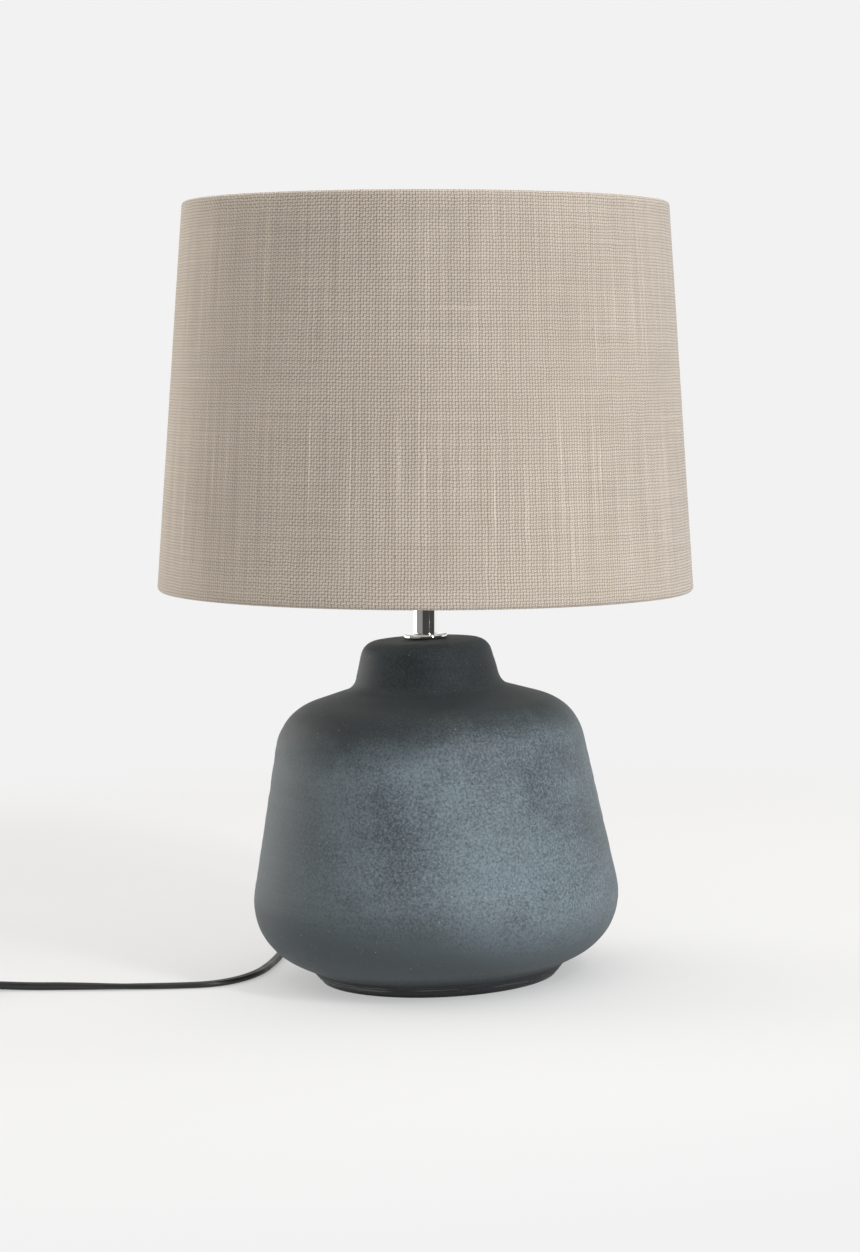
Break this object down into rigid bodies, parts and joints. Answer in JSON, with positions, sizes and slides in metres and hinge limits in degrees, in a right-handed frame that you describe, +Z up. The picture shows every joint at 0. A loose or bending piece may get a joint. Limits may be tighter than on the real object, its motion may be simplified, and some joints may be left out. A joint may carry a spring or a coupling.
{
  "type": "table lamp with shade",
  "caption": "Table lamp: squat dark stoneware pot, short polished stem, tapered linen drum shade, screw-in candle bulb and a flex with an in-line rocker switch and flat two-pin plug.",
  "frame": {"origin": "middle of the pot's footprint, on the surface that it stands on", "axes": "+Z up along the pot's own axis, -Y towards the viewer, -X the side that the flex leaves on; the stem and shade lean 2.3 degrees towards +X"},
  "size_m": [0.5133, 0.3415, 0.4389],
  "materials": {
    "stoneware": "matt slate-grey slip with a powdery, mottled surface",
    "felt": "pressed felt",
    "rubber": "moulded, satin",
    "polished_steel": "polished",
    "zinc_steel": "zinc plated",
    "black_flex": "soft satin sheath",
    "core_insulation": "smooth",
    "black_plastic": "moulded, fine satin",
    "white_plastic": "moulded",
    "black_insulator": "glossy",
    "porcelain": "unglazed white",
    "brass": "drawn",
    "nickel": "nickel plated",
    "solder": "dull",
    "plated_cap": "rolled thread",
    "white_enamel": "powder coated",
    "styrene": "translucent sheet",
    "linen": "coarse plain weave",
    "frosted_glass": "frosted"
  },
  "bodies": {
    "base": {"base_pad": "felt", "centre_contact": "brass", "coil_tie": "black_plastic", "contact_block": "porcelain", "cord_coil": "black_flex", "cord_grip": "black_plastic", "cord_grommet": "rubber", "cord_lead": "black_flex", "cord_link": "black_flex", "cord_tail": "black_flex", "flex_cores": "core_insulation", "holder_body": "black_plastic", "holder_cap": "black_plastic", "holder_lock_screw": "zinc_steel", "inner_flex": "black_flex", "inner_washer": "zinc_steel", "neck_flange": "polished_steel", "neck_gasket": "rubber", "neck_nut": "zinc_steel", "plug_body": "black_plastic", "plug_pins": "nickel", "plug_sleeves": "black_plastic", "pot": "stoneware", "screw_shell": "brass", "stem_tube": "polished_steel", "switch_base": "black_plastic", "switch_contacts": "brass", "switch_core": "core_insulation", "switch_cover": "black_plastic", "switch_pin": "zinc_steel", "switch_screws": "zinc_steel", "terminal_screws": "brass", "threaded_nipple": "zinc_steel"},
    "shade_ring": {"shade_ring": "black_plastic"},
    "shade": {"shade_hub": "white_enamel", "spider_arm_1": "white_enamel", "spider_arm_2": "white_enamel", "spider_arm_3": "white_enamel", "bottom_wire": "white_enamel", "top_wire": "white_enamel", "shade_liner": "styrene", "shade_fabric": "linen"},
    "bulb": {"bulb_glass": "frosted_glass", "bulb_collar": "white_plastic", "bulb_cap": "plated_cap", "bulb_insulator": "black_insulator", "bulb_contact": "solder"},
    "rocker": {"switch_rocker": "black_plastic"}
  },
  "joints": [
    {"name": "shade_lift", "type": "slide", "parent": "base", "child": "shade_ring", "axis": [0.0401, 0, 0.9992], "range_m": [0, 0.15]},
    {"name": "shade_turn", "type": "hinge", "parent": "shade_ring", "child": "shade", "pos_m": [0.00265, 0, 0.25975], "axis": [0.0401, 0, 0.9992], "continuous": true},
    {"name": "bulb_out", "type": "slide", "parent": "base", "child": "bulb", "axis": [0.0401, 0, 0.9992], "range_m": [0, 0.19]},
    {"name": "rocker_tilt", "type": "hinge", "parent": "base", "child": "rocker", "pos_m": [-0.293, 0.0043, 0.0112], "axis": [-0.1132, -0.9936, 0], "range_deg": [0, 14]}
  ]
}
